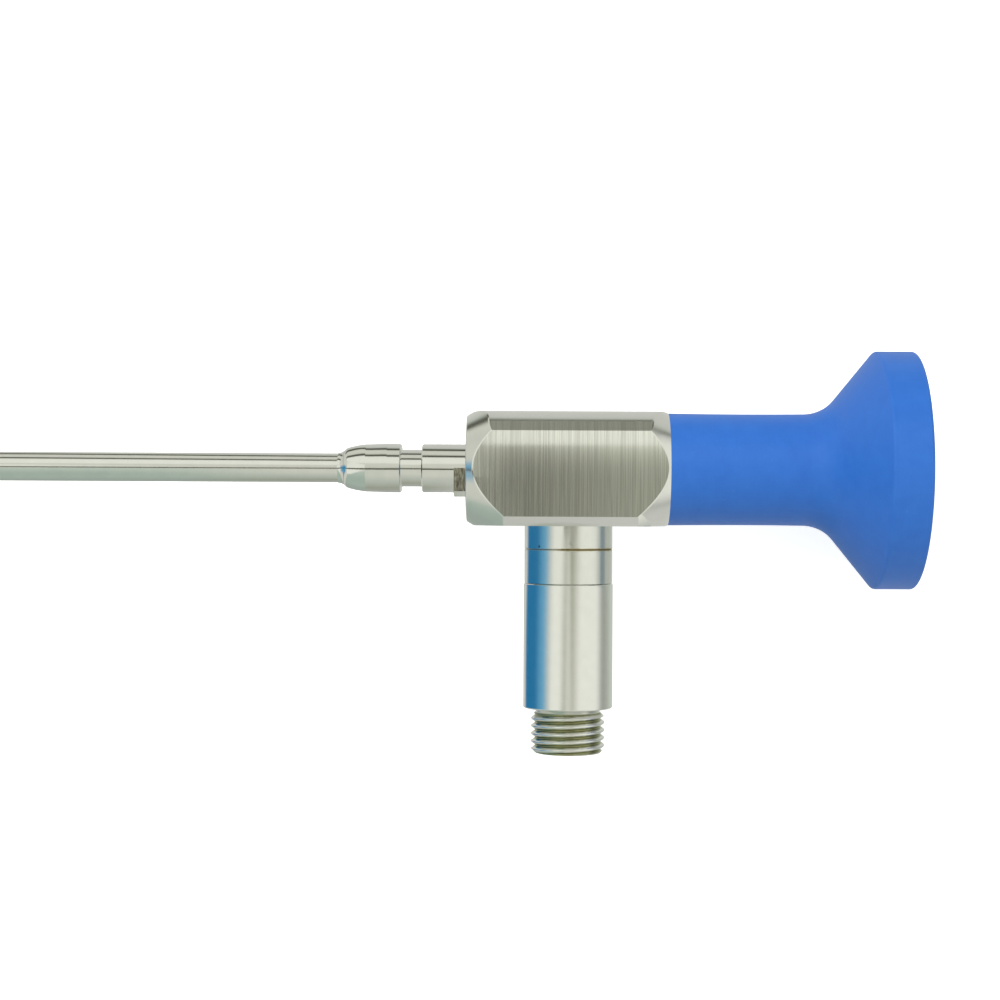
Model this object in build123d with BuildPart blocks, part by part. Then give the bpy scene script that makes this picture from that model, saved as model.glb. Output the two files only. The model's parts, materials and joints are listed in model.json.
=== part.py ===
from build123d import *
import math
import os

# Rigid endoscope with a 30 degree view, a side light post and a one-piece grip and eyecup.
# It is drawn straight: X runs along the shaft towards the eyepiece, the light post points to -Y,
# and the origin is where the post's axis crosses the shaft's. At the end every piece is laid down
# as the instrument rests on a table, on its tip, its light post and the rim of its eyecup.

# Driving dimensions, in millimetres and degrees

# Fits between pieces
fit = 0.02
seat_gap = 0.05

# Shaft and tip
shaft_r = 2.0
shaft_wall = 0.15
shaft_seat = 0.4
working_length = 140.0
view_angle = 30.0
optic_r = 1.35
optic_wall = 0.1

# Collar where the shaft enters the hub
ferrule_length = 0.83
ferrule_lip = 0.08
ferrule_flange = 0.14
ferrule_wall = 0.24
ferrule_seat = 3.0

# Lock hub, from its joint with the body towards the tip
key_length = 1.68
key_drop = 3.87
key_bevel = 0.71
ring_r = 3.31
ring_length = 6.1
groove_r = 2.53
groove_length = 2.85
nose_r = 3.34
nose_length = 7.84
nose_straight = 1.9
nose_land = 0.08
nose_shoulder = 0.58
nose_shoulder_rise = 0.43
nose_crown = 2.46
nose_crown_angle = 16.5
nose_taper = 0.09
hub_edge = 0.15
spigot_r = 3.0
spigot_length = 5.35

# Body block
body_half = 7.78
body_front = -13.95
body_length = 27.45
body_edge = 0.1
facet_low = 4.96
facet_high = 6.27
facet_angle = 45.0
turned_r = 10.15
cone_angle = 30.0
front_end_r = 7.22
front_end_edge = 0.3
cavity_r = 5.0
cavity_length = 12.0
rear_web = 1.5

# Light post, with distances along it from the shaft's axis
post_r = 6.0
post_bore_r = 4.5
base_root = 5.6
base_end = 10.98
base_neck_r = 4.48
base_neck_end = 20.0
base_mouth_r = 2.9
base_mouth_end = 11.5
ring_end = 15.68
post_break = 0.08
sleeve_r = 6.09
sleeve_end = 32.6
sleeve_edge = 0.2
thread_r = 5.0
thread_end = 38.7
thread_bevel = 0.5
relief_r = 4.35
relief_length = 0.5
shank_r = 4.0
shank_length = 6.6
light_rod_r = 2.3
light_rod_length = 8.6

# Fibre bundle inside the body and the post
bundle_r = 1.25
bundle_bend = 7.0
bundle_lead = 0.9

# Lens train
lens_count = 6
window_thickness = 0.5
prism_length = 3.6
objective_length = 1.5
objective_gap = 1.2
objective_bulge = 0.25
rod_gap = 3.4
spacer_wall = 0.15
clear_aperture = 0.85
rod_bevel = 0.12
train_end = 7.6

# Eyepiece
collar_length = 2.0
ocular_r = 6.0
ocular_bore_r = 4.6
ocular_clearance = 0.1
seal_floor_r = 5.3
seal_groove = 0.95
seal_inset = 2.0
stop_position = 18.0
stop_thickness = 0.4
stop_aperture = 1.6
ocular_lens_position = 24.0
ocular_lens_edge = 1.6
ocular_lens_bulge = 0.8
ocular_lens_flat = 0.4
ocular_spacer_length = 4.0
ocular_spacer_wall = 0.6
retainer_length = 1.2
retainer_wall = 0.6

# Eyecup
grip_r = 7.65
waist_r = 7.57
cone_start = 34.5
cone_fillet = 5.5
rim_r = 16.2
rim_start = 41.5
rim_end = 46.75
rim_edge = 0.5
rim_rear_edge = 0.4
funnel_depth = 6.0
funnel_floor_r = 7.9
rim_land = 1.8

# Eyepiece window
window_flange_r = 7.6
window_flange = 0.8
window_neck_length = 3.5
window_bore_r = 3.4
window_r = 4.0
window_depth = 1.6
window_glass = 1.2

# Places that follow from the driving dimensions

body_rear = body_front + body_length
key_front = body_front - key_length
ring_front = body_front - ring_length
groove_front = ring_front - groove_length
nose_front = groove_front - nose_length
ferrule_front = nose_front - ferrule_length
tip_x = ferrule_front - working_length
spigot_rear = body_front + spigot_length
cavity_rear = spigot_rear + cavity_length
rear_bore_front = cavity_rear + rear_web
shaft_bore_r = shaft_r - shaft_wall
shaft_seat_r = shaft_r + fit
shaft_end = ferrule_front + shaft_seat
ferrule_seat_r = shaft_seat_r + ferrule_wall
ferrule_r = ferrule_seat_r + ferrule_flange
ferrule_end = nose_front + ferrule_seat
nose_front_r = ferrule_seat_r + fit + nose_land
nose_shoulder_r = nose_front_r + nose_shoulder_rise
nose_crown_r = nose_r - nose_taper
optic_bore_r = optic_r - optic_wall
optic_offset = shaft_bore_r - optic_r - fit
lens_r = optic_bore_r - fit
ocular_front = rear_bore_front + collar_length
funnel_floor = rim_end - funnel_depth
funnel_mouth_r = rim_r - rim_rear_edge - rim_land
ocular_rear = funnel_floor - ocular_clearance
ocular_fit_r = ocular_bore_r - fit
tan_view = math.tan(math.radians(view_angle))
light_rod_start = thread_end - light_rod_length

# The oblique face of the tip looks away from the light post.
tip_plane = Plane(
    origin=(tip_x + shaft_r * tan_view, 0, 0),
    x_dir=(0, 0, 1),
    z_dir=(-math.cos(math.radians(view_angle)), math.sin(math.radians(view_angle)), 0),
)


def outline(points):
    """A closed outline of (x, radius) points, to be turned about the shaft's axis."""
    with BuildSketch(Plane.XY) as section:
        with BuildLine():
            Polyline(*points, close=True)
        make_face()
    return section.sketch


def post_outline(points):
    """A closed outline of (radius, distance) points, to be turned about the light post's axis."""
    return outline([(radius, -distance) for radius, distance in points])


def ring_outline(start, end, inner, outer):
    """The outline of a plain ring or tube about the shaft's axis."""
    return outline([(start, inner), (start, outer), (end, outer), (end, inner)])


def optic_disc(start, radius):
    """A disc square to the shaft on the optic tube's own axis."""
    with BuildSketch(Plane.YZ.offset(start)) as disc:
        with Locations((optic_offset, 0)):
            Circle(radius)
    return disc.sketch


def spacer(start, end):
    """A thin tube between two lenses of the train."""
    with BuildPart() as tube:
        extrude(optic_disc(start, lens_r), amount=end - start)
        extrude(optic_disc(start, lens_r - spacer_wall), amount=end - start, mode=Mode.SUBTRACT)
    return tube


def lens(start, end, bulge_front, bulge_rear, radius, centre_y=0.0):
    """One lens: its rim runs from start to end, and its faces bulge out inside a flat seat."""
    clear_y = centre_y + radius * clear_aperture
    with BuildPart() as glass:
        with BuildSketch(Plane.XY):
            with BuildLine():
                TangentArc((start - bulge_front, centre_y), (start, clear_y), tangent=(0, 1))
                Polyline(
                    (start, clear_y),
                    (start, centre_y + radius),
                    (end, centre_y + radius),
                    (end, clear_y),
                )
                TangentArc((end + bulge_rear, centre_y), (end, clear_y), tangent=(0, 1))
                Line((end + bulge_rear, centre_y), (start - bulge_front, centre_y))
            make_face()
        revolve(axis=Axis((0, centre_y, 0), (1, 0, 0)))
    return glass


pieces = {}


def keep(builder, label):
    """Label a finished piece and keep it for the rest pose."""
    builder.part.label = label
    pieces[label] = builder.part


# Shaft: outer tube, optic tube and the crescent of fibres between them

with BuildPart() as shaft_tube:
    revolve(ring_outline(tip_x, shaft_end, shaft_bore_r, shaft_r), axis=Axis.X)
    split(bisect_by=tip_plane, keep=Keep.BOTTOM)
keep(shaft_tube, "shaft_tube")

with BuildPart() as optic_tube:
    extrude(optic_disc(tip_x, optic_r), amount=train_end - tip_x)
    extrude(optic_disc(tip_x, optic_bore_r), amount=train_end - tip_x, mode=Mode.SUBTRACT)
    split(bisect_by=tip_plane, keep=Keep.BOTTOM)
keep(optic_tube, "optic_tube")

bundle_y = optic_offset - optic_r - fit - bundle_r
bundle_start = -bundle_bend - bundle_lead

with BuildPart() as fibre_bundle:
    with BuildSketch(Plane.YZ.offset(tip_x)):
        Circle(shaft_bore_r - fit)
        with Locations((optic_offset, 0)):
            Circle(optic_r + fit, mode=Mode.SUBTRACT)
    extrude(amount=-bundle_bend - tip_x)
    split(bisect_by=tip_plane, keep=Keep.BOTTOM)
    with BuildLine() as bundle_path:
        Line((bundle_start, bundle_y), (-bundle_bend, bundle_y))
        TangentArc((-bundle_bend, bundle_y), (0, bundle_y - bundle_bend), tangent=(1, 0))
        Line((0, bundle_y - bundle_bend), (0, -light_rod_start))
    with BuildSketch(Plane.YZ.offset(bundle_start)):
        with Locations((bundle_y, 0)):
            Circle(bundle_r)
    sweep(path=bundle_path.line)
keep(fibre_bundle, "fibre_bundle")

# Collar and lock hub: the tube is welded into a shallow rebate in the collar, which is seated in the hub

with BuildPart() as shaft_ferrule:
    with BuildSketch(Plane.XY):
        with BuildLine():
            TangentArc((ferrule_front, shaft_r + ferrule_lip), (nose_front, ferrule_r), tangent=(1, 0))
            Polyline(
                (nose_front, ferrule_r),
                (nose_front, ferrule_seat_r),
                (ferrule_end, ferrule_seat_r),
                (ferrule_end, shaft_bore_r),
                (shaft_end, shaft_bore_r),
                (shaft_end, shaft_seat_r),
                (ferrule_front, shaft_seat_r),
                (ferrule_front, shaft_r + ferrule_lip),
            )
        make_face()
    revolve(axis=Axis.X)
keep(shaft_ferrule, "shaft_ferrule")

with BuildPart() as lock_hub:
    with BuildSketch(Plane.XY):
        with BuildLine():
            shoulder_point = (nose_front + nose_shoulder, nose_shoulder_r)
            crown_point = (nose_front + nose_shoulder + nose_crown, nose_crown_r)
            entry = Vector(1, 0).rotate(Axis.Z, nose_crown_angle)
            TangentArc(shoulder_point, (nose_front, nose_front_r), tangent=-entry)
            TangentArc(shoulder_point, crown_point, tangent=entry)
            Polyline(
                crown_point,
                (groove_front - nose_straight, nose_r),
                (groove_front - hub_edge, nose_r),
                (groove_front, nose_r - hub_edge),
                (groove_front, groove_r),
                (ring_front, groove_r),
                (ring_front, ring_r - hub_edge),
                (ring_front + hub_edge, ring_r),
                (body_front, ring_r),
                (body_front, spigot_r),
                (spigot_rear, spigot_r),
                (spigot_rear, shaft_bore_r),
                (ferrule_end, shaft_bore_r),
                (ferrule_end, ferrule_seat_r + fit),
                (nose_front, ferrule_seat_r + fit),
                (nose_front, nose_front_r),
            )
        make_face()
    revolve(axis=Axis.X)
    with BuildSketch(Plane.YZ.offset(key_front)) as key_section:
        Rectangle(key_drop, 2 * ring_r, align=(Align.MAX, Align.CENTER))
        chamfer(key_section.vertices().group_by(Axis.X)[0], length=key_bevel)
        Circle(ring_r - hub_edge, mode=Mode.SUBTRACT)
    extrude(amount=key_length)
keep(lock_hub, "lock_hub")

# Body block: a square bar, its upper long edges faceted and rounded, its ends turned to a cone

facet_turn = math.radians(facet_angle)
facet_top_z = body_half - (facet_high - facet_low) * math.tan(facet_turn)
crown_r = (body_half - facet_high) / (1 - math.sin(facet_turn))
crown_z = facet_top_z - crown_r * math.cos(facet_turn)
cone_slope = math.tan(math.radians(cone_angle))

with BuildPart() as body_block:
    with BuildSketch(Plane.YZ.offset(body_front)):
        with BuildLine():
            Polyline(
                (-body_half, 0),
                (-body_half, body_half),
                (facet_low, body_half),
                (facet_high, facet_top_z),
            )
            TangentArc(
                (facet_high, facet_top_z),
                (body_half, crown_z),
                tangent=(math.cos(facet_turn), -math.sin(facet_turn)),
            )
            Line((body_half, crown_z), (body_half, 0))
            mirror(about=Plane.XZ)
        make_face()
    extrude(amount=body_length)
    with BuildSketch(Plane.XY):
        with BuildLine():
            Polyline(
                (body_front, 0),
                (body_front, front_end_r),
                (body_front + (turned_r - front_end_r) / cone_slope, turned_r),
                (body_rear - (turned_r - grip_r) / cone_slope, turned_r),
                (body_rear, grip_r),
                (body_rear, 0),
                close=True,
            )
        make_face()
    revolve(axis=Axis.X, mode=Mode.INTERSECT)
    turned_edges = edges().filter_by(GeomType.HYPERBOLA)
    chamfer(turned_edges, length=body_edge)
    fillet(edges().filter_by(GeomType.CIRCLE).group_by(Axis.X)[0], radius=front_end_edge)
    with BuildSketch(Plane.XY):
        with BuildLine():
            Polyline(
                (body_front, 0),
                (body_front, spigot_r + fit),
                (spigot_rear, spigot_r + fit),
                (spigot_rear, cavity_r),
                (cavity_rear, cavity_r),
                (cavity_rear, 0),
                close=True,
            )
        make_face()
        with BuildLine():
            Polyline(
                (rear_bore_front, 0),
                (rear_bore_front, ocular_r + fit),
                (body_rear, ocular_r + fit),
                (body_rear, 0),
                close=True,
            )
        make_face()
    revolve(axis=Axis.X, mode=Mode.SUBTRACT)
    extrude(optic_disc(cavity_rear, optic_r + fit), amount=rear_web, mode=Mode.SUBTRACT)
    with BuildSketch(Plane.XZ):
        Circle(post_bore_r)
    extrude(amount=body_half, mode=Mode.SUBTRACT)
keep(body_block, "body_block")

# Light post: base, ring, sleeve and threaded end, with the light guide inside

with BuildPart() as light_post_base:
    section = post_outline(
        [
            (base_mouth_r, base_root),
            (post_bore_r - fit, base_root),
            (post_bore_r - fit, body_half),
            (post_r, body_half),
            (post_r, base_end - seat_gap - post_break),
            (post_r - post_break, base_end - seat_gap),
            (base_neck_r, base_end - seat_gap),
            (base_neck_r, base_neck_end),
            (light_rod_r + fit, base_neck_end),
            (light_rod_r + fit, base_mouth_end),
            (base_mouth_r, base_mouth_end),
        ]
    )
    revolve(section, axis=Axis.Y)
keep(light_post_base, "light_post_base")

with BuildPart() as light_post_ring:
    section = post_outline(
        [
            (base_neck_r + fit, base_end),
            (post_r - post_break, base_end),
            (post_r, base_end + post_break),
            (post_r, ring_end - seat_gap - post_break),
            (post_r - post_break, ring_end - seat_gap),
            (base_neck_r + fit, ring_end - seat_gap),
        ]
    )
    revolve(section, axis=Axis.Y)
keep(light_post_ring, "light_post_ring")

shank_start = sleeve_end - shank_length

with BuildPart() as light_post_sleeve:
    section = post_outline(
        [
            (base_neck_r + fit, ring_end),
            (sleeve_r - post_break, ring_end),
            (sleeve_r, ring_end + post_break),
            (sleeve_r, sleeve_end),
            (shank_r + fit, sleeve_end),
            (shank_r + fit, shank_start - fit),
            (light_rod_r + fit, shank_start - fit),
            (light_rod_r + fit, base_neck_end + fit),
            (base_neck_r + fit, base_neck_end + fit),
        ]
    )
    revolve(section, axis=Axis.Y)
    sleeve_rim = edges().filter_by(GeomType.CIRCLE).group_by(Axis.Y)[0].sort_by(SortBy.RADIUS)[-1]
    fillet(sleeve_rim, radius=sleeve_edge)
keep(light_post_sleeve, "light_post_sleeve")

with BuildPart() as light_post_connector:
    section = post_outline(
        [
            (light_rod_r + fit, shank_start),
            (shank_r, shank_start),
            (shank_r, sleeve_end),
            (relief_r, sleeve_end),
            (relief_r, sleeve_end + relief_length),
            (thread_r, sleeve_end + relief_length + (thread_r - relief_r)),
            (thread_r, thread_end - thread_bevel),
            (thread_r - thread_bevel, thread_end),
            (light_rod_r + fit, thread_end),
        ]
    )
    revolve(section, axis=Axis.Y)
keep(light_post_connector, "light_post_connector")

with BuildPart() as bundle_sleeve:
    section = post_outline(
        [
            (bundle_r + fit, base_mouth_end),
            (light_rod_r, base_mouth_end),
            (light_rod_r, light_rod_start),
            (bundle_r + fit, light_rod_start),
        ]
    )
    revolve(section, axis=Axis.Y)
keep(bundle_sleeve, "bundle_sleeve")

with BuildPart() as light_inlet_rod:
    section = post_outline(
        [
            (0, light_rod_start),
            (light_rod_r, light_rod_start),
            (light_rod_r, thread_end),
            (0, thread_end),
        ]
    )
    revolve(section, axis=Axis.Y)
keep(light_inlet_rod, "light_inlet_rod")

# Lens train: window, prism, objective, and three relay pairs of rods with their spacers

glass_front = tip_x + (shaft_r + optic_offset - optic_r) * tan_view
window_plane = tip_plane.offset(-window_thickness)
prism_rear = tip_x + 2 * shaft_r * tan_view + window_thickness + prism_length

with BuildPart() as distal_window:
    extrude(optic_disc(glass_front, lens_r), amount=prism_rear - glass_front)
    split(bisect_by=tip_plane, keep=Keep.BOTTOM)
    split(bisect_by=window_plane, keep=Keep.TOP)
keep(distal_window, "distal_window")

with BuildPart() as tip_prism:
    extrude(optic_disc(glass_front, lens_r), amount=prism_rear - glass_front)
    split(bisect_by=window_plane, keep=Keep.BOTTOM)
keep(tip_prism, "tip_prism")

front_lens_x = prism_rear + objective_bulge
objective_gap_x = front_lens_x + objective_length
rear_lens_x = objective_gap_x + objective_gap
train_start = rear_lens_x + objective_length

keep(
    lens(front_lens_x, objective_gap_x, objective_bulge, objective_bulge, lens_r, optic_offset),
    "objective_lens_front",
)
keep(spacer(objective_gap_x, rear_lens_x), "objective_spacer")
keep(
    lens(rear_lens_x, train_start, objective_bulge, objective_bulge, lens_r, optic_offset),
    "objective_lens_rear",
)

pitch = (train_end - train_start) / lens_count

for index in range(lens_count):
    gap_start = train_start + index * pitch
    rod_start = gap_start + rod_gap
    rod_stop = gap_start + pitch
    keep(spacer(gap_start, rod_start), f"rod_spacer_{index + 1}")
    with BuildPart() as rod:
        extrude(optic_disc(rod_start, lens_r), amount=rod_stop - rod_start)
        chamfer(edges().filter_by(GeomType.CIRCLE), length=rod_bevel)
    keep(rod, f"rod_lens_{index + 1}")

# Eyepiece: collar, ocular tube, stop, lenses, seals and window

with BuildPart() as centring_collar:
    with BuildSketch(Plane.YZ.offset(rear_bore_front)):
        Circle(ocular_r)
        with Locations((optic_offset, 0)):
            Circle(optic_r + fit, mode=Mode.SUBTRACT)
    extrude(amount=collar_length)
keep(centring_collar, "centring_collar")

seal_centres = [body_rear + seal_inset, ocular_rear - seal_inset]

with BuildPart() as ocular_tube:
    revolve(ring_outline(ocular_front, ocular_rear, ocular_bore_r, ocular_r), axis=Axis.X)
    with BuildSketch(Plane.XY):
        with Locations(*[(centre, seal_floor_r) for centre in seal_centres]):
            Rectangle(seal_groove, ocular_r, align=(Align.CENTER, Align.MIN))
    revolve(axis=Axis.X, mode=Mode.SUBTRACT)
keep(ocular_tube, "ocular_tube")

seal_section_r = (ocular_r + fit - seal_floor_r) / 2 - fit

for centre, label in zip(seal_centres, ["ocular_seal_front", "ocular_seal_rear"]):
    with BuildPart() as seal:
        with BuildSketch(Plane.XY):
            with Locations((centre, (ocular_r + fit + seal_floor_r) / 2)):
                Circle(seal_section_r)
        revolve(axis=Axis.X)
    keep(seal, label)

stop_rear = stop_position + stop_thickness

with BuildPart() as field_stop:
    revolve(ring_outline(stop_position, stop_rear, stop_aperture, ocular_fit_r), axis=Axis.X)
keep(field_stop, "field_stop")

ocular_spacer_r = ocular_fit_r - ocular_spacer_wall
ocular_spacer_x = ocular_lens_position + ocular_lens_edge
rear_ocular_x = ocular_spacer_x + ocular_spacer_length
retainer_x = rear_ocular_x + ocular_lens_edge
retainer_rear = retainer_x + retainer_length

keep(
    lens(ocular_lens_position, ocular_spacer_x, ocular_lens_flat, ocular_lens_bulge, ocular_fit_r),
    "ocular_lens_front",
)

with BuildPart() as ocular_spacer:
    revolve(ring_outline(ocular_spacer_x, rear_ocular_x, ocular_spacer_r, ocular_fit_r), axis=Axis.X)
keep(ocular_spacer, "ocular_spacer")

keep(
    lens(rear_ocular_x, retainer_x, ocular_lens_bulge, ocular_lens_flat, ocular_fit_r),
    "ocular_lens_rear",
)

with BuildPart() as ocular_retainer:
    revolve(ring_outline(retainer_x, retainer_rear, ocular_fit_r - retainer_wall, ocular_fit_r), axis=Axis.X)
keep(ocular_retainer, "ocular_retainer")

window_seat = funnel_floor + window_flange - window_depth

with BuildPart() as window_ring:
    section = outline(
        [
            (funnel_floor - window_neck_length, window_bore_r),
            (funnel_floor - window_neck_length, ocular_fit_r),
            (funnel_floor, ocular_fit_r),
            (funnel_floor, window_flange_r),
            (funnel_floor + window_flange, window_flange_r),
            (funnel_floor + window_flange, window_r + fit),
            (window_seat, window_r + fit),
            (window_seat, window_bore_r),
        ]
    )
    revolve(section, axis=Axis.X)
keep(window_ring, "window_ring")

with BuildPart() as eyepiece_window:
    section = outline(
        [
            (window_seat, 0),
            (window_seat, window_r),
            (window_seat + window_glass, window_r),
            (window_seat + window_glass, 0),
        ]
    )
    revolve(section, axis=Axis.X)
keep(eyepiece_window, "eyepiece_window")

# Eyecup: grip, cone and rim in one piece, with the funnel at its rear

with BuildPart() as eyecup:
    with BuildSketch(Plane.XY) as eyecup_outline:
        with BuildLine():
            Spline(
                (body_rear, grip_r),
                ((body_rear + cone_start) / 2, waist_r),
                (cone_start, grip_r),
            )
            Polyline(
                (cone_start, grip_r),
                (rim_start, rim_r),
                (rim_end, rim_r),
                (rim_end, funnel_mouth_r),
                (funnel_floor, funnel_floor_r),
                (funnel_floor, ocular_r + fit),
                (body_rear, ocular_r + fit),
                (body_rear, grip_r),
            )
        make_face()
        cone_root = eyecup_outline.vertices().sort_by_distance((cone_start, grip_r))[0]
        fillet(cone_root, radius=cone_fillet)
        rim_corner = eyecup_outline.vertices().sort_by_distance((rim_start, rim_r))[0]
        fillet(rim_corner, radius=rim_edge)
        rear_corner = eyecup_outline.vertices().sort_by_distance((rim_end, rim_r))[0]
        fillet(rear_corner, radius=rim_rear_edge)
    revolve(axis=Axis.X)
keep(eyecup, "eyecup")

# Rest pose: the table touches the shaft's tip, the end of the light post and the rim's front edge


def reach(centre, first, second, down):
    """How far an ellipse, given by its centre and two half axes, reaches in a direction."""
    return centre.dot(down) + math.hypot(first.dot(down), second.dot(down))


rim_slope = math.atan2(rim_r - grip_r, rim_start - cone_start)
rim_ball_x = rim_start + rim_edge * math.tan(rim_slope / 2)
rim_ball_r = rim_r - rim_edge
tip_middle = Vector(tip_x + shaft_r * tan_view, 0, 0)
post_edge = Vector(0, -(thread_end - thread_bevel), 0)
pitch_angle = 0.0
roll_angle = 0.0
settling_steps = 60

for _ in range(settling_steps):
    down = Vector(
        -math.sin(pitch_angle),
        -math.cos(pitch_angle) * math.sin(roll_angle),
        -math.cos(pitch_angle) * math.cos(roll_angle),
    )
    tip_reach = reach(tip_middle, Vector(shaft_r * tan_view, shaft_r, 0), Vector(0, 0, shaft_r), down)
    rim_reach = reach(Vector(rim_ball_x, 0, 0), Vector(0, rim_ball_r, 0), Vector(0, 0, rim_ball_r), down)
    rim_reach = rim_reach + rim_edge
    post_reach = reach(post_edge, Vector(thread_r, 0, 0), Vector(0, 0, thread_r), down)
    pitch_angle = pitch_angle + (rim_reach - tip_reach) / (rim_ball_x - tip_x)
    roll_angle = roll_angle + (rim_reach - post_reach) / thread_end

up = down * -1
level_x = Vector(1, 0, 0) - up * up.X
table = Plane(origin=down * rim_reach, x_dir=level_x, z_dir=up)
laid_down = Compound(children=[part.moved(table.location.inverse()) for part in pieces.values()])
footprint = laid_down.bounding_box(optimal=True)
centring = Location((-footprint.center().X, -footprint.center().Y, 0))
rest_pose = centring * table.location.inverse()

os.makedirs("parts", exist_ok=True)
for label, part in pieces.items():
    piece = part.moved(rest_pose)
    piece.label = label
    export_step(piece, f"parts/{label}.step")

size = footprint.size
print(f"pitch {math.degrees(pitch_angle):.3f} roll {math.degrees(roll_angle):.3f} degrees")
print(f"box {size.X:.2f} x {size.Y:.2f} x {size.Z:.2f} mm, lowest {footprint.min.Z:.4f}")
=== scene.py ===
"""A rigid endoscope lying on a pale table, seen from above as in the photograph."""
import json
import math

import bpy
from mathutils import Matrix, Vector


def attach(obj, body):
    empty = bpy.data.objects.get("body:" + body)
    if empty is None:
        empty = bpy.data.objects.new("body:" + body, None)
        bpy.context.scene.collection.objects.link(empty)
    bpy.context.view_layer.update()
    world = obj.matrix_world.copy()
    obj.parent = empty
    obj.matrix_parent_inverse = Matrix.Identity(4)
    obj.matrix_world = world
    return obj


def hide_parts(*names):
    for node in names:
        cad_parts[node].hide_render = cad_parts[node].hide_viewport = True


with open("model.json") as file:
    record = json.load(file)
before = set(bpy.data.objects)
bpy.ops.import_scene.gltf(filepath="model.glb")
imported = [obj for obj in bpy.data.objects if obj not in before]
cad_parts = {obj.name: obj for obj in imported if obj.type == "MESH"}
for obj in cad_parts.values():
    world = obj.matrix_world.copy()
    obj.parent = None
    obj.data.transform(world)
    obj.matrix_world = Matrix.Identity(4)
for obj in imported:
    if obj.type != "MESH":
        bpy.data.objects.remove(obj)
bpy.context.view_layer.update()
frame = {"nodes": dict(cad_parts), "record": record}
nodes = frame["nodes"]
mounts = {mount["name"]: mount for mount in frame["record"]["mounts"]}
MM = 0.001

# The instrument's own axes: X along the shaft to the eyepiece, Y away from the light post,
# Z out of the body's front face, with the origin where the post's axis crosses the shaft's.
shaft_point = Vector(mounts["shaft"]["pos_m"])
post_point = Vector(mounts["light_post_thread"]["pos_m"])
axis_x = -Vector(mounts["shaft"]["axis"]).normalized()
axis_y = -Vector(mounts["light_post_thread"]["axis"]).normalized()
axis_z = axis_x.cross(axis_y).normalized()
origin = post_point - axis_y * (post_point - shaft_point).dot(axis_y)
to_instrument = Matrix((axis_x, axis_y, axis_z)).transposed().to_euler()


def spot(x, y, z):
    """A point in metres in the row's frame, from millimetres along the instrument's axes."""
    return origin + (axis_x * x + axis_y * y + axis_z * z) * MM


# Camera

IMAGE_SIDE = 1000
FOCAL_PIXELS = 1950
SENSOR = 36.0
CAMERA_PLACE = (-4.5, -5.5, 267.0)
CAMERA_TARGET = (-9.4, -4.3, 0.0)
AXIS_TILT = math.radians(0.31)

camera_data = bpy.data.cameras.new("camera")
camera_data.sensor_width = SENSOR
camera_data.lens = FOCAL_PIXELS / IMAGE_SIDE * SENSOR
camera_data.clip_start = 0.01
camera = bpy.data.objects.new("camera", camera_data)
bpy.context.scene.collection.objects.link(camera)
look = (spot(*CAMERA_TARGET) - spot(*CAMERA_PLACE)).normalized()
tilted_up = axis_y * math.cos(AXIS_TILT) - axis_x * math.sin(AXIS_TILT)
right = look.cross(tilted_up).normalized()
camera_up = right.cross(look)
camera_turn = Matrix((right, camera_up, -look)).transposed()
camera.matrix_world = Matrix.Translation(spot(*CAMERA_PLACE)) @ camera_turn.to_4x4()
bpy.context.scene.camera = camera
bpy.context.scene.view_settings.view_transform = "Standard"


# Shader helpers


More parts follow.
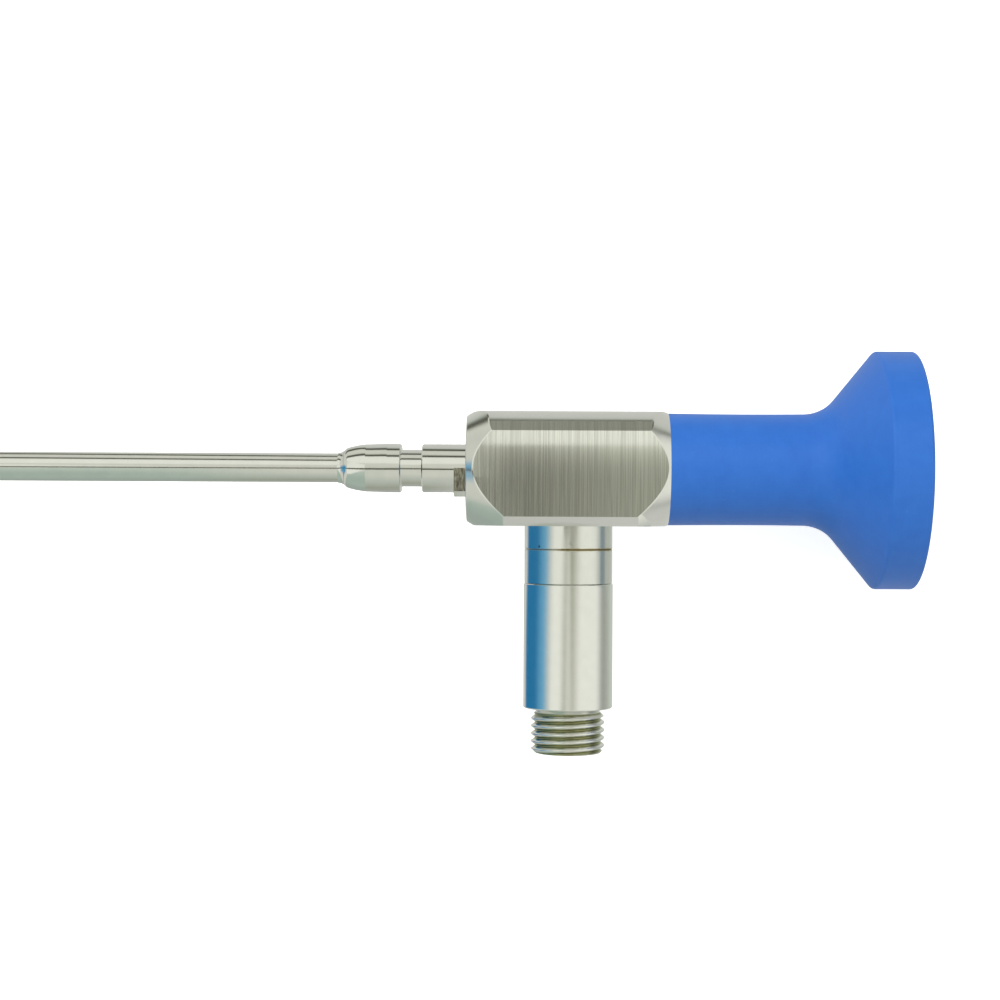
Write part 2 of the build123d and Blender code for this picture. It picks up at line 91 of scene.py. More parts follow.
class Shader:
    """A node tree with short ways to add and join its nodes."""

    def __init__(self, tree):
        self.tree = tree

    def add(self, kind, **settings):
        node = self.tree.nodes.new("ShaderNode" + kind)
        for name, value in settings.items():
            setattr(node, name, value)
        return node

    def join(self, source, target):
        self.tree.links.new(source, target)

    def feed(self, socket, value):
        """Set a socket to a number or colour, or join another node's output to it."""
        if isinstance(value, bpy.types.NodeSocket):
            self.join(value, socket)
        else:
            socket.default_value = value

    def math(self, operation, *values):
        node = self.add("Math", operation=operation)
        for socket, value in zip(node.inputs, values):
            self.feed(socket, value)
        return node.outputs[0]

    def dot(self, vector, constant):
        node = self.add("VectorMath", operation="DOT_PRODUCT")
        self.feed(node.inputs[0], vector)
        self.feed(node.inputs[1], constant)
        return node.outputs["Value"]

    def smooth(self, value, low, high, start=0.0, end=1.0):
        """A smooth step from start to end, as value goes from low to high."""
        node = self.add("MapRange", interpolation_type="SMOOTHSTEP")
        for socket, item in zip(node.inputs, (value, low, high, start, end)):
            self.feed(socket, item)
        return node.outputs["Result"]

    def mix(self, factor, first, second):
        """A colour between two others, from the first at 0 to the second at 1."""
        node = self.add("Mix", data_type="RGBA")
        self.feed(node.inputs[0], factor)
        self.feed(node.inputs[6], first)
        self.feed(node.inputs[7], second)
        return node.outputs[2]

    def ramp(self, factor, stops):
        """A colour that runs through the stops, from (position, colour) pairs."""
        node = self.add("ValToRGB")
        elements = node.color_ramp.elements
        while len(elements) < len(stops):
            elements.new(0.5)
        for element, (position, colour) in zip(elements, stops):
            element.position = position
            element.color = (*colour, 1.0)
        self.feed(node.inputs[0], factor)
        return node.outputs["Color"]

    def noise(self, vector, scale, stretch=(1, 1, 1), detail=3.0, roughness=0.5):
        """A noise pattern of about scale grains a millimetre, drawn out where the stretch is low."""
        mapping = self.add("Mapping")
        self.feed(mapping.inputs["Vector"], vector)
        mapping.inputs["Scale"].default_value = stretch
        node = self.add("TexNoise")
        self.join(mapping.outputs[0], node.inputs["Vector"])
        node.inputs["Scale"].default_value = scale
        node.inputs["Detail"].default_value = detail
        node.inputs["Roughness"].default_value = roughness
        return node.outputs["Fac"]

    def place(self):
        """The surface point in the instrument's own millimetres."""
        mapping = self.add("Mapping", vector_type="TEXTURE")
        self.join(self.add("TexCoord").outputs["Object"], mapping.inputs["Vector"])
        mapping.inputs["Location"].default_value = origin
        mapping.inputs["Rotation"].default_value = to_instrument
        mapping.inputs["Scale"].default_value = (MM, MM, MM)
        return mapping.outputs[0]

    def facing(self, direction):
        """How far the surface faces a direction given along the instrument's axes."""
        x, y, z = direction
        return self.dot(self.add("NewGeometry").outputs["Normal"], axis_x * x + axis_y * y + axis_z * z)

    def split(self, vector):
        node = self.add("SeparateXYZ")
        self.join(vector, node.inputs[0])
        return node.outputs[0], node.outputs[1], node.outputs[2]

    def bump(self, height, depth):
        """A bumpy normal from a height pattern, whose full depth is given in millimetres."""
        node = self.add("Bump")
        node.inputs["Strength"].default_value = 1.0
        node.inputs["Distance"].default_value = depth * MM
        self.feed(node.inputs["Height"], height)
        return node.outputs[0]


def material(name, **fixed):
    """A Principled material; numbers that are the same all over go on its sockets."""
    made = bpy.data.materials.new(name)
    made.use_nodes = True
    shader = Shader(made.node_tree)
    surface = made.node_tree.nodes["Principled BSDF"]
    for socket, value in fixed.items():
        surface.inputs[socket.replace("_", " ")].default_value = value
    return made, shader, surface.inputs


# Materials

STEEL = (0.80, 0.80, 0.765, 1)
STEEL_SHADE = (0.72, 0.725, 0.70, 1)
SATIN_LIGHT = (0.83, 0.83, 0.80, 1)
SATIN_DARK = (0.76, 0.76, 0.735, 1)
STROKE_LIGHT = (0.86, 0.865, 0.81, 1)
STROKE_DARK = (0.60, 0.605, 0.56, 1)
BODY_CLOUD = (0.66, 0.665, 0.63, 1)
# Painted shade, darkening the body's upper front facet
FACET_SHADE = (0.36, 0.36, 0.30, 1)
# Painted dark reflection for the key's milled flat
MILLED_LIGHT = (0.56, 0.55, 0.47, 1)
MILLED_PAINTED_DARK = (0.22, 0.20, 0.15, 1)
MILLED_PAINTED_BLOTCH = (0.17, 0.14, 0.085, 1)
PLASTIC_DEEP = (0.007, 0.110, 0.510, 1)
PLASTIC = (0.020, 0.158, 0.610, 1)
PLASTIC_RING = (0.050, 0.190, 0.62, 1)
PLASTIC_RUBBED = (0.13, 0.30, 0.68, 1)
FIBRE_CORE = (0.78, 0.66, 0.42, 1)
FIBRE_EDGE = (0.20, 0.13, 0.06, 1)
RUST = (0.38, 0.30, 0.10, 1)
DIRT = (0.10, 0.08, 0.05, 1)
# Painted shade for the thread's valleys
THREAD_VALLEY_SHADE = (0.22, 0.23, 0.085, 1)
DIAGONAL = math.sqrt(0.5)


def polished_steel(name, roughness, line_depth):
    """Steel turned about the shaft's axis and polished: faint rings and small changes of gloss."""
    made, shader, surface = material(name, Metallic=1.0)
    place = shader.place()
    rings = shader.noise(place, 9.0, (1, 0.02, 0.02), detail=4)
    clouds = shader.noise(place, 0.55, detail=3)
    shader.join(shader.mix(clouds, STEEL_SHADE, STEEL), surface["Base Color"])
    gloss = shader.math("MULTIPLY_ADD", rings, 0.05, roughness - 0.02)
    shader.join(shader.math("MULTIPLY_ADD", clouds, 0.03, gloss), surface["Roughness"])
    shader.join(shader.bump(rings, line_depth), surface["Normal"])
    return made


def satin_post():
    """The post's sleeve: satin steel with fine turned lines and a soft haze."""
    made, shader, surface = material("satin_post", Metallic=1.0)
    place = shader.place()
    fine = shader.noise(place, 16.0, (0.02, 1, 0.02), detail=5, roughness=0.7)
    haze = shader.noise(place, 0.8, detail=4)
    shader.join(shader.mix(haze, SATIN_DARK, SATIN_LIGHT), surface["Base Color"])
    gloss = shader.math("MULTIPLY_ADD", fine, 0.08, 0.08)
    shader.join(shader.math("MULTIPLY_ADD", haze, 0.05, gloss), surface["Roughness"])
    shader.join(shader.bump(fine, 0.0035), surface["Normal"])
    return made


def brushed_body():
    """The body's flats and facets: brushed across, so that reflections smear along the shaft only. The
    upper front facet is darkened with painted shade.
    """
    made, shader, surface = material("brushed_body", Metallic=1.0, Anisotropic=0.95)
    place = shader.place()
    strokes = shader.noise(place, 6.0, (1, 0.012, 0.012), detail=4, roughness=0.65)
    scratches = shader.noise(place, 2.6, (1, 0.015, 0.015), detail=3)
    clouds = shader.noise(place, 0.30, (1, 0.5, 0.5), detail=3)
    pale = shader.mix(shader.smooth(strokes, 0.30, 0.70), STROKE_DARK, STROKE_LIGHT)
    pale = shader.mix(shader.math("MULTIPLY", clouds, 0.30), pale, BODY_CLOUD)
    # Painted shade: the facet facing up and to the front is darkened towards FACET_SHADE, and made rougher
    facets = shader.smooth(shader.facing((0, DIAGONAL, DIAGONAL)), 0.998, 0.9995, 0.0, 0.33)
    pale = shader.mix(facets, pale, FACET_SHADE)
    shader.join(pale, surface["Base Color"])
    rough = shader.math("MULTIPLY_ADD", strokes, 0.06, 0.06)
    rough = shader.math("MULTIPLY_ADD", facets, 0.75, rough)
    shader.join(shader.math("MULTIPLY_ADD", scratches, 0.03, rough), surface["Roughness"])
    height = shader.math("ADD", strokes, scratches)
    shader.join(shader.bump(height, 0.0025), surface["Normal"])
    along = shader.add("CombineXYZ")
    for socket, part in zip(along.inputs, axis_x):
        socket.default_value = part
    shader.join(along.outputs[0], surface["Tangent"])
    return made


def turned_body():
    """The body's turned ends and rounded edges: smooth, with faint tool rings and a soft haze."""
    made, shader, surface = material("turned_body", Metallic=1.0)
    place = shader.place()
    rings = shader.noise(place, 8.0, (1, 0.04, 0.04), detail=4)
    clouds = shader.noise(place, 0.5, detail=4)
    shader.join(shader.mix(clouds, STEEL_SHADE, STEEL), surface["Base Color"])
    gloss = shader.math("MULTIPLY_ADD", rings, 0.06, 0.10)
    shader.join(shader.math("MULTIPLY_ADD", clouds, 0.06, gloss), surface["Roughness"])
    shader.join(shader.bump(rings, 0.002), surface["Normal"])
    return made


def milled_flat_painted_dark():
    """The key's milled flat: darker steel with blotches and short strokes across the shaft; the darkness
    and the blotches are a painted dark reflection.
    """
    made, shader, surface = material("milled_flat_painted_dark", Metallic=1.0)
    place = shader.place()
    strokes = shader.noise(place, 3.2, (1, 0.25, 0.25), detail=5, roughness=0.65)
    blotches = shader.noise(place, 1.6, detail=4, roughness=0.7)
    # Painted dark reflection: both stroke tones and the blotches sit far below the steel's own colour
    tone = shader.mix(shader.smooth(strokes, 0.35, 0.68), MILLED_PAINTED_DARK, MILLED_LIGHT)
    tone = shader.mix(shader.smooth(blotches, 0.45, 0.70, 0.0, 0.6), tone, MILLED_PAINTED_BLOTCH)
    shader.join(tone, surface["Base Color"])
    shader.join(shader.smooth(strokes, 0.0, 1.0, 0.16, 0.30), surface["Roughness"])
    shader.join(shader.bump(strokes, 0.006), surface["Normal"])
    return made


def blue_plastic():
    """Satin blue plastic with faint turning rings, mottling and rubbed patches."""
    made, shader, surface = material("blue_plastic", IOR=1.5)
    place = shader.place()
    rings = shader.noise(place, 7.0, (1, 0.03, 0.03), detail=5, roughness=0.7)
    mottle = shader.noise(place, 0.5, detail=5, roughness=0.6)
    rubs = shader.noise(place, 2.2, (0.7, 0.35, 1), detail=6, roughness=0.72)
    base = shader.mix(mottle, PLASTIC_DEEP, PLASTIC)
    base = shader.mix(shader.math("MULTIPLY", rings, 0.25), base, PLASTIC_RING)
    rubbed = shader.smooth(rubs, 0.60, 0.78, 0.0, 0.22)
    shader.join(shader.mix(rubbed, base, PLASTIC_RUBBED), surface["Base Color"])
    gloss = shader.math("MULTIPLY_ADD", mottle, 0.12, 0.36)
    shader.join(shader.math("MULTIPLY_ADD", rubs, 0.12, gloss), surface["Roughness"])
    shader.join(shader.bump(shader.math("ADD", rings, rubs), 0.006), surface["Normal"])
    return made


def optical_glass(name, tint, coating):
    """Coated glass: a clear body with a faint coloured sheen that varies across the face."""
    made, shader, surface = material(name, IOR=1.62, Transmission_Weight=1.0)
    place = shader.place()
    sheen = shader.noise(place, 0.9, detail=2)
    shader.join(shader.mix(sheen, tint, coating), surface["Base Color"])
    shader.join(shader.smooth(sheen, 0.2, 0.8, 0.01, 0.04), surface["Roughness"])
    return made


def fibre_ends():
    """Ground ends of the light guide: pale amber dots of glass packed side by side."""
    made, shader, surface = material("fibre_ends", IOR=1.55)
    cells = shader.add("TexVoronoi")
    shader.join(shader.place(), cells.inputs["Vector"])
    cells.inputs["Scale"].default_value = 14.0
    edges = shader.smooth(cells.outputs["Distance"], 0.15, 0.55)
    shader.join(shader.mix(edges, FIBRE_CORE, FIBRE_EDGE), surface["Base Color"])
    shader.join(shader.smooth(edges, 0.0, 1.0, 0.15, 0.5), surface["Roughness"])
    return made


def dark_finish(name, colour, roughness):
    """A black part inside the eyepiece: blackened metal or rubber, with a fine grain."""
    made, shader, surface = material(name)
    grain = shader.noise(shader.place(), 12.0, detail=3)
    paler = tuple(min(1.0, part * 1.8) for part in colour)
    shader.join(shader.mix(grain, (*colour, 1), (*paler, 1)), surface["Base Color"])
    shader.join(shader.smooth(grain, 0.0, 1.0, roughness - 0.08, roughness + 0.08), surface["Roughness"])
    shader.join(shader.bump(grain, 0.004), surface["Normal"])
    return made


STAIN_LINE = -10.95
PIT_R = 0.22
SPECK_R = 0.09
SPOTS = (
    ((-4.0, -10.55, 4.45), PIT_R),
    ((0.2, -9.95, 6.0), SPECK_R),
    ((0.35, -10.3, 6.0), SPECK_R),
    ((0.05, -10.15, 6.0), SPECK_R),
)


def stained_steel(name, spots):
    """A polished piece of the post beside its upper joint line, with a rust-brown stain and dark spots."""
    made, shader, surface = material(name, Metallic=1.0)
    place = shader.place()
    rings = shader.noise(place, 9.0, (0.02, 1, 0.02), detail=4)
    clouds = shader.noise(place, 0.8, detail=4)
    patches = shader.noise(place, 1.4, detail=5, roughness=0.65)
    x, y, z = shader.split(place)
    off_line = shader.math("ABSOLUTE", shader.math("SUBTRACT", y, STAIN_LINE))
    reach = shader.math("MULTIPLY_ADD", patches, 0.5, 0.02)
    near = shader.smooth(shader.math("DIVIDE", off_line, reach), 0.25, 1.0, 1.0, 0.0)
    side = shader.smooth(x, -2.2, -0.4, 0.25, 1.0)
    stain = shader.math("MULTIPLY", shader.math("MULTIPLY", near, side), 0.85)
    colour = shader.mix(clouds, STEEL_SHADE, STEEL)
    colour = shader.mix(stain, colour, RUST)
    for middle, radius in spots:
        gap = shader.add("VectorMath", operation="DISTANCE")
        shader.join(place, gap.inputs[0])
        gap.inputs[1].default_value = middle
        dark = shader.smooth(gap.outputs["Value"], radius * 0.5, radius, 0.8, 0.0)
        colour = shader.mix(dark, colour, DIRT)
    shader.join(colour, surface["Base Color"])
    gloss = shader.math("MULTIPLY_ADD", rings, 0.06, 0.12)
    shader.join(shader.math("MULTIPLY_ADD", stain, 0.3, gloss), surface["Roughness"])
    shader.join(shader.bump(rings, 0.002), surface["Normal"])
    return made


THREAD_PITCH = 1.04
THREAD_DEPTH = 0.52
CREST_R = mounts["light_post_thread"]["dims"]["r_mm"]


def thread_finish():
    """The thread: bright crests over dark olive valleys, whose darkening is painted shade."""
    made, shader, surface = material("thread_steel", Metallic=1.0)
    place = shader.place()
    x, y, z = shader.split(place)
    squares = shader.math("ADD", shader.math("MULTIPLY", x, x), shader.math("MULTIPLY", z, z))
    radius = shader.math("SQRT", squares)
    thread_noise = shader.noise(place, 1.8, detail=4)
    clouds = shader.noise(place, 0.8, detail=3)
    valley_r = CREST_R - THREAD_DEPTH
    uneven_radius = shader.math("MULTIPLY_ADD", thread_noise, -0.16, shader.math("ADD", radius, 0.08))
    # Painted shade: the colour darkens to olive in the thread's valleys, with a ragged edge
    low = shader.smooth(uneven_radius, valley_r + 0.02, CREST_R - 0.18, 0.9, 0.0)
    on_thread = shader.smooth(radius, valley_r - 0.06, valley_r - 0.01)
    colour = shader.mix(clouds, STEEL_SHADE, STEEL)
    colour = shader.mix(shader.math("MULTIPLY", low, on_thread), colour, THREAD_VALLEY_SHADE)
    shader.join(colour, surface["Base Color"])
    shader.join(shader.math("MULTIPLY_ADD", thread_noise, 0.10, 0.06), surface["Roughness"])
    return made


shaft_steel = polished_steel("shaft_steel", 0.10, 0.0015)
hub_steel = polished_steel("hub_steel", 0.07, 0.002)
thread_steel = thread_finish()
inner_steel = polished_steel("inner_steel", 0.25, 0.004)
clear_glass = optical_glass("clear_glass", (0.95, 0.98, 0.98, 1), (0.80, 0.90, 0.95, 1))
coated_glass = optical_glass("coated_glass", (0.75, 0.85, 0.95, 1), (0.55, 0.45, 0.80, 1))
black_metal = dark_finish("black_metal", (0.020, 0.020, 0.022), 0.42)
black_rubber = dark_finish("black_rubber", (0.015, 0.015, 0.015), 0.60)

finishes = {
    "shaft_tube": shaft_steel,
    "shaft_ferrule": hub_steel,
    "lock_hub": hub_steel,
    "body_block": brushed_body(),
    "light_post_base": stained_steel("post_base_steel", SPOTS),
    "light_post_ring": stained_steel("post_ring_steel", ()),
    "light_post_sleeve": satin_post(),
    "eyecup": blue_plastic(),
    "window_ring": black_metal,
    "eyepiece_window": coated_glass,
    "distal_window": coated_glass,
    "fibre_bundle": fibre_ends(),
    "centring_collar": black_metal,
    "field_stop": black_metal,
    "ocular_tube": black_metal,
    "ocular_spacer": black_metal,
    "ocular_retainer": black_metal,
    "ocular_seal_front": black_rubber,
    "ocular_seal_rear": black_rubber,
}
by_slot = {"polished_steel": inner_steel, "optical_glass": clear_glass}
slot_of = {entry["node"]: entry["material_slot"] for entry in frame["record"]["subparts"]}
for name, node in nodes.items():
    finish = finishes.get(name) or by_slot[slot_of[name]]
    node.data.materials.clear()
    node.data.materials.append(finish)
    for face in node.data.polygons:
        face.material_index = 0

to_axes = Matrix((axis_x, axis_y, axis_z))


def add_finish(name, finish):
    """Give a node a second finish, and list its faces with their normal and middle on our axes."""
    mesh = nodes[name].data
    mesh.materials.append(finish)
    return [(face, to_axes @ face.normal, to_axes @ (face.center - origin) / MM) for face in mesh.polygons]


FLAT_MATCH = math.cos(math.radians(1.0))
KEY_FLAT_TOP = -0.2
body_flats = [Vector((0, y, z)) for y, z in [(0, 1), (0, -1), (1, 0), (-1, 0)]]
body_flats += [Vector((0, DIAGONAL, DIAGONAL)), Vector((0, DIAGONAL, -DIAGONAL))]

for face, normal, middle in add_finish("body_block", turned_body()):
    if max(normal.dot(flat) for flat in body_flats) < FLAT_MATCH:
        face.material_index = 1
# The key's front flat gets the painted dark reflection
for face, normal, middle in add_finish("lock_hub", milled_flat_painted_dark()):
    if normal.z > FLAT_MATCH and middle.y < KEY_FLAT_TOP:
        face.material_index = 1


# Threaded end of the light post: the same form as its CAD solid, with the thread cut in

THREAD_LENGTH = mounts["light_post_thread"]["dims"]["length_mm"]
THREAD_MIDDLE = (post_point - origin).dot(axis_y) / MM
RELIEF_R = 4.35
END_BEVEL = 0.5
LIGHT_BORE_R = 2.32
SHANK_R = 4.0
SHANK_LENGTH = 6.6
RELIEF_LENGTH = 0.5
CREST_SHARE = 0.20
FLANK_SHARE = 0.68
AROUND = 120
ROWS_PER_TURN = 16


def cut_radius(angle, y):
    """The thread's own radius, deepest between two crests."""
    turn = (y / THREAD_PITCH - angle / (2 * math.pi)) % 1.0
    tooth = abs(2 * turn - 1)
    return CREST_R - THREAD_DEPTH * min(1.0, max(0.0, (tooth - CREST_SHARE) / FLANK_SHARE))


def ring_points(y, envelope, cut=False):
    """One closed ring of points round the post at height y, with the thread cut into it or not."""
    points = []
    for step in range(AROUND):
        angle = 2 * math.pi * step / AROUND
        radius = min(envelope, cut_radius(angle, y)) if cut else envelope
        points.append(spot(radius * math.sin(angle), y, radius * math.cos(angle)))
    return points


def threaded_end():
    """The post's end piece: a shank, the relief's shoulder and the thread down to its bevelled end."""
    top = THREAD_MIDDLE + THREAD_LENGTH / 2
    bottom = THREAD_MIDDLE - THREAD_LENGTH / 2
    shoulder = top + (CREST_R - RELIEF_R)
    shelf = shoulder + RELIEF_LENGTH
    shank_top = shelf + SHANK_LENGTH
    end = bottom - END_BEVEL
    rings = [
        ring_points(shank_top, LIGHT_BORE_R),
        ring_points(shank_top, SHANK_R),
        ring_points(shelf, SHANK_R),
        ring_points(shelf, RELIEF_R),
    ]
    rows = round((shoulder - end) / THREAD_PITCH * ROWS_PER_TURN)
    for row in range(rows + 1):
        y = shoulder + (end - shoulder) * row / rows
        envelope = min(CREST_R, RELIEF_R + (shoulder - y), CREST_R - END_BEVEL + (y - end))
        rings.append(ring_points(y, envelope, cut=True))
    rings.append(ring_points(end, LIGHT_BORE_R))
    points = [point for ring in rings for point in ring]
    faces = []
    count = len(rings)
    for row in range(count):
        for step in range(AROUND):
            turn = (step + 1) % AROUND
            below = (row + 1) % count
            corners = ((row, step), (below, step), (below, turn), (row, turn))
            faces.append([ring * AROUND + point for ring, point in corners])
    mesh = bpy.data.meshes.new("post_thread")
    mesh.from_pydata(points, [], faces)
    mesh.validate()
    mesh.update()
    piece = bpy.data.objects.new("post_thread", mesh)
    bpy.context.scene.collection.objects.link(piece)
    for face in mesh.polygons:
        face.use_smooth = True
    mesh.materials.append(thread_steel)
    return piece


thread_piece = threaded_end()
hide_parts("light_post_connector")
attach(thread_piece, "root")

# Table, lifted so far towards white for the camera that its soft shadow hardly shows

TABLE_SIZE = 3.0
TABLE_LIFT = 0.72
table_mesh = bpy.data.meshes.new("table")
half = TABLE_SIZE / 2
table_corners = [(-half, -half, 0), (half, -half, 0), (half, half, 0), (-half, half, 0)]
table_mesh.from_pydata(table_corners, [], [(0, 1, 2, 3)])
table = bpy.data.objects.new("table", table_mesh)
bpy.context.scene.collection.objects.link(table)
table_material, table_shader, table_surface = material("table_white", Roughness=0.9)
paper = table_shader.noise(table_shader.add("TexCoord").outputs["Object"], 30.0)
table_tone = table_shader.mix(paper, (0.80, 0.80, 0.80, 1), (0.82, 0.82, 0.82, 1))
table_shader.join(table_tone, table_surface["Base Color"])
rays = table_shader.add("LightPath")
seen = table_shader.math("MAXIMUM", rays.outputs["Is Camera Ray"], rays.outputs["Is Transmission Ray"])
table_surface["Emission Color"].default_value = (1, 1, 1, 1)
table_shader.join(table_shader.math("MULTIPLY", seen, TABLE_LIFT), table_surface["Emission Strength"])
table_mesh.materials.append(table_material)
table.visible_glossy = False

# Studio light: a pale tent all round, whose seams show as the fine dark lines in the polished steel.
# Its lower half is what the metal mirrors there, because the table doesn't show in glossy reflections.

world = bpy.data.worlds.new("studio")
bpy.context.scene.world = world
world.use_nodes = True
world.node_tree.nodes.clear()
studio = Shader(world.node_tree)
direction = studio.add("TexCoord").outputs["Generated"]
across = studio.dot(direction, axis_x)
upward = studio.dot(direction, axis_y)
outward = studio.dot(direction, axis_z)


def degrees_from_front(side):
    """The direction's angle from the front, towards one side."""
    return studio.math("MULTIPLY", studio.math("ARCTAN2", side, outward), 180 / math.pi)


def panels(angle, steps):
    """The tent's colours by angle, from (degrees from the front, colour) pairs."""
    stops = [((degrees + 180) / 360, colour) for degrees, colour in steps]
    return studio.ramp(studio.math("MULTIPLY_ADD", angle, 1 / 360, 0.5), stops)


CREAM = (0.94, 0.95, 0.87)
WARM = (0.74, 0.75, 0.67)
PALE = (0.68, 0.69, 0.65)
MIDDLE = (0.60, 0.64, 0.57)
GREY = (0.46, 0.48, 0.45)
SHADE = (0.39, 0.42, 0.35)
OLIVE = (0.38, 0.39, 0.30)
OLIVE_LIGHT = (0.53, 0.54, 0.45)
COOL_LIGHT = (0.56, 0.65, 0.575)
COOL = (0.44, 0.54, 0.47)
COOL_DARK = (0.40, 0.46, 0.42)
SEAM = (0.09, 0.09, 0.07)
BLUE = (0.025, 0.20, 0.42)
SKY_BLUE = (0.15, 0.43, 0.66)

# The tent's long seams run a little askew, so they sit higher on the shaft than on the hub
SEAM_SKEW = 0.87
HUB_SIDE = -0.07
SKEW_END = -0.25
left_side = studio.math("MAXIMUM", studio.math("MINIMUM", across, 0.0), SKEW_END)
skew = studio.math("MULTIPLY_ADD", left_side, SEAM_SKEW, 1 - HUB_SIDE * SEAM_SKEW)
shaft_angle = studio.math("MULTIPLY", degrees_from_front(upward), skew)
along_shaft = panels(
    shaft_angle,
    [
        (-180, GREY),
        (-150, GREY),
        (-107, SHADE),
        (-61, MIDDLE),
        (-36, WARM),
        (17, WARM),
        (23, CREAM),
        (51, CREAM),
        (55, SEAM),
        (61, SEAM),
        (67, WARM),
        (89, WARM),
        (94, SEAM),
        (101, SEAM),
        (110, MIDDLE),
        (122, PALE),
        (180, PALE),
    ],
)
# Below, the tent is cooler towards the shaft's tip and brighter under the body
cool_below = panels(
    shaft_angle,
    [(-180, COOL_DARK), (-110, COOL_DARK), (-84, COOL), (-47, COOL), (-15, COOL_LIGHT), (180, COOL_LIGHT)],
)
below = studio.smooth(upward, 0.02, -0.02)
cool_share = studio.math("MULTIPLY", studio.smooth(across, -0.13, -0.19), below)
bright_share = studio.math("MULTIPLY", studio.smooth(across, -0.055, -0.025), below)
bright_share = studio.math("MULTIPLY", bright_share, studio.smooth(shaft_angle, -45, -75))
along_shaft = studio.mix(cool_share, along_shaft, cool_below)
along_shaft = studio.mix(bright_share, along_shaft, (*PALE, 1))

# The panels beside the post lean, so their lines sit further left on its sleeve than on its base
turned = degrees_from_front(across)
LEAN = 8.0
low_down = studio.smooth(upward, -0.02, -0.07, 0.0, LEAN)
lean = studio.math("MULTIPLY", low_down, studio.smooth(turned, 70, 40))
post_angle = studio.math("ADD", turned, lean)
along_post = panels(
    post_angle,
    [
        (-180, MIDDLE),
        (-140, PALE),
        (-45, WARM),
        (-36, CREAM),
        (-16, CREAM),
        (-10, WARM),
        (-3, OLIVE_LIGHT),
        (2, OLIVE),
        (10, OLIVE),
        (17, OLIVE_LIGHT),
        (26, WARM),
        (36, CREAM),
        (76, CREAM),
        (88, PALE),
        (95, GREY),
        (104, SHADE),
        (118, GREY),
        (138, MIDDLE),
        (180, MIDDLE),
    ],
)

sideways = studio.math("SUBTRACT", studio.math("ABSOLUTE", across), studio.math("ABSOLUTE", upward))
sky = studio.mix(studio.smooth(sideways, -0.02, 0.10), along_shaft, along_post)

# A blue panel on the left, paler towards the front
blue_near = studio.smooth(post_angle, -64, -39, 1.0, 0.0)
blue_far = studio.smooth(post_angle, -142, -126)
BLUE_MIDDLE = -0.08
off_middle = studio.math("ABSOLUTE", studio.math("SUBTRACT", upward, BLUE_MIDDLE))
blue_height = studio.smooth(off_middle, 0.12, 0.32, 1.0, 0.0)
blue_seen = studio.math("MULTIPLY", studio.math("MULTIPLY", blue_near, blue_far), blue_height)
blue_tone = studio.mix(studio.smooth(post_angle, -92, -60), (*BLUE, 1), (*SKY_BLUE, 1))
sky = studio.mix(blue_seen, sky, blue_tone)

# The camera, and glass that it looks through, see plain white instead of the tent
tent = studio.add("Background")
studio.join(sky, tent.inputs["Color"])
white = studio.add("Background")
white.inputs["Color"].default_value = (1, 1, 1, 1)
world_rays = studio.add("LightPath")
through = world_rays.outputs["Is Transmission Ray"]
shown = studio.math("MAXIMUM", world_rays.outputs["Is Camera Ray"], through)
chosen = studio.add("MixShader")
studio.join(shown, chosen.inputs[0])
studio.join(tent.outputs[0], chosen.inputs[1])
studio.join(white.outputs[0], chosen.inputs[2])
studio.join(chosen.outputs[0], studio.add("OutputWorld").inputs["Surface"])

# One soft lamp above, aimed at the body

KEY_PLACE = (-150, 350, 500)
KEY_SIZE = 0.35
KEY_POWER = 2.2

key_data = bpy.data.lights.new("key", "AREA")
key_data.size = KEY_SIZE
key_data.energy = KEY_POWER
key = bpy.data.objects.new("key", key_data)
bpy.context.scene.collection.objects.link(key)
key.location = spot(*KEY_PLACE)
key.rotation_euler = (origin - key.location).to_track_quat("-Z", "Y").to_euler()
key.visible_glossy = False

# Cards round the instrument, which only reflections show. The shaft card gives the fine dark line down
# the middle of the shaft and hub. The body card gives the grey of the body's flat, and the band card its
# bright upper band. The post card softens the blue that the eyecup throws on the post.


def card(name, corners, along, tones, brighter=None):
    """A glowing card, from its corners and its tones along one axis (0, 1 or 2) as (place, colour) pairs.

    brighter gives two places along X and the glow at each, for a card that glows more to one side.
    """
    low, high = tones[0][0], tones[-1][0]
    mesh = bpy.data.meshes.new(name)
    mesh.from_pydata([spot(*corner) for corner in corners], [], [(0, 1, 2, 3)])
    board = bpy.data.objects.new(name, mesh)
    bpy.context.scene.collection.objects.link(board)
    made, shader, surface = material(name, Roughness=1.0)
    surface["Base Color"].default_value = (0, 0, 0, 1)
    parts = shader.split(shader.place())
    share = shader.math("DIVIDE", shader.math("SUBTRACT", parts[along], low), high - low)
    stops = [((at - low) / (high - low), tone) for at, tone in tones]
    shader.join(shader.ramp(share, stops), surface["Emission Color"])
    surface["Emission Strength"].default_value = 1.0
    if brighter is not None:
        shader.join(shader.smooth(parts[0], *brighter), surface["Emission Strength"])
    mesh.materials.append(made)
    board.visible_camera = False
    board.visible_diffuse = False
    board.visible_transmission = False
    board.visible_shadow = False


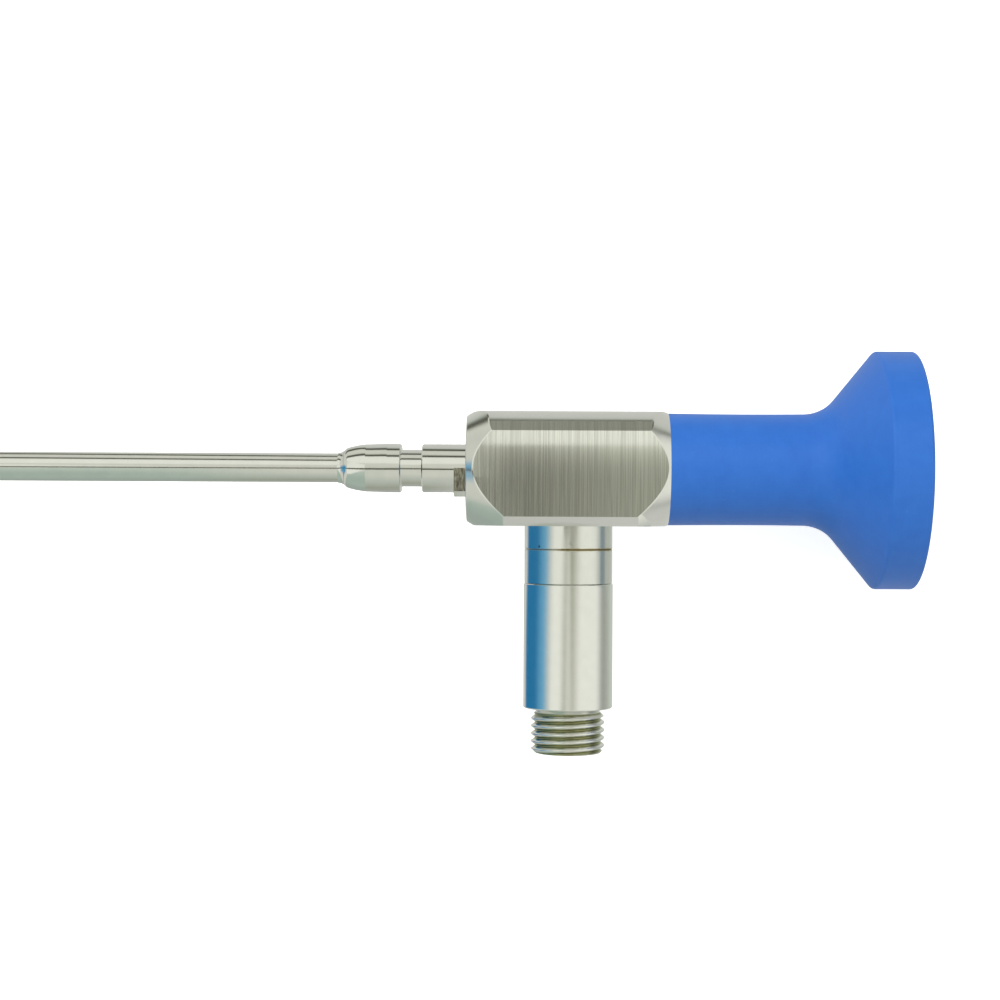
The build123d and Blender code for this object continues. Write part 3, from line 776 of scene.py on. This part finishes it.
def level(x_range, y_range, z):
    """The corners of a card that faces down."""
    (left, right_end), (low, high) = x_range, y_range
    return [(left, low, z), (right_end, low, z), (right_end, high, z), (left, high, z)]


BODY_FRONT, BODY_REAR = -13.6, 24.0
SHAFT_CARD_END = -110.0
SHAFT_CARD_HEIGHT = 30.0
LINE_LOW, LINE_HIGH = -4.55, -0.95
LINE = (0.10, 0.105, 0.075)
card(
    "shaft_card",
    level((SHAFT_CARD_END, BODY_FRONT), (LINE_LOW, LINE_HIGH), SHAFT_CARD_HEIGHT),
    1,
    [(LINE_LOW, LINE), (LINE_HIGH, LINE)],
)

BODY_CARD_HEIGHT = 60.0
BODY_CARD_LOW = -9.0
BAND_EDGE = 4.75
BAND_TOP = 12.0
FLAT_GREY = (0.250, 0.255, 0.212)
card(
    "body_card",
    level((BODY_FRONT, BODY_REAR), (BODY_CARD_LOW, BAND_EDGE), BODY_CARD_HEIGHT),
    1,
    [
        (BODY_CARD_LOW, FLAT_GREY),
        (-1.0, FLAT_GREY),
        (0.9, (0.268, 0.273, 0.230)),
        (2.2, (0.305, 0.310, 0.262)),
        (3.5, (0.370, 0.375, 0.320)),
        (BAND_EDGE, (0.480, 0.485, 0.425)),
    ],
    brighter=(-8.0, 14.0, 1.0, 1.5),
)
card(
    "band_card",
    level((BODY_FRONT, BODY_REAR), (BAND_EDGE, BAND_TOP), BODY_CARD_HEIGHT),
    1,
    [(BAND_EDGE, CREAM), (BAND_TOP, CREAM)],
)

POST_CARD_X = 11.0
POST_CARD_Y = (-16.1, -7.6)
POST_CARD_Z = (-9.0, 10.0)
card(
    "post_card",
    [(POST_CARD_X, POST_CARD_Y[side], POST_CARD_Z[end]) for side, end in [(0, 0), (1, 0), (1, 1), (0, 1)]],
    2,
    [
        (POST_CARD_Z[0], (0.56, 0.58, 0.52)),
        (0.5, (0.50, 0.53, 0.48)),
        (2.0, (0.26, 0.32, 0.33)),
        (3.6, (0.24, 0.31, 0.34)),
        (4.6, (0.53, 0.56, 0.53)),
        (7.0, (0.88, 0.89, 0.81)),
        (POST_CARD_Z[1], CREAM),
    ],
)
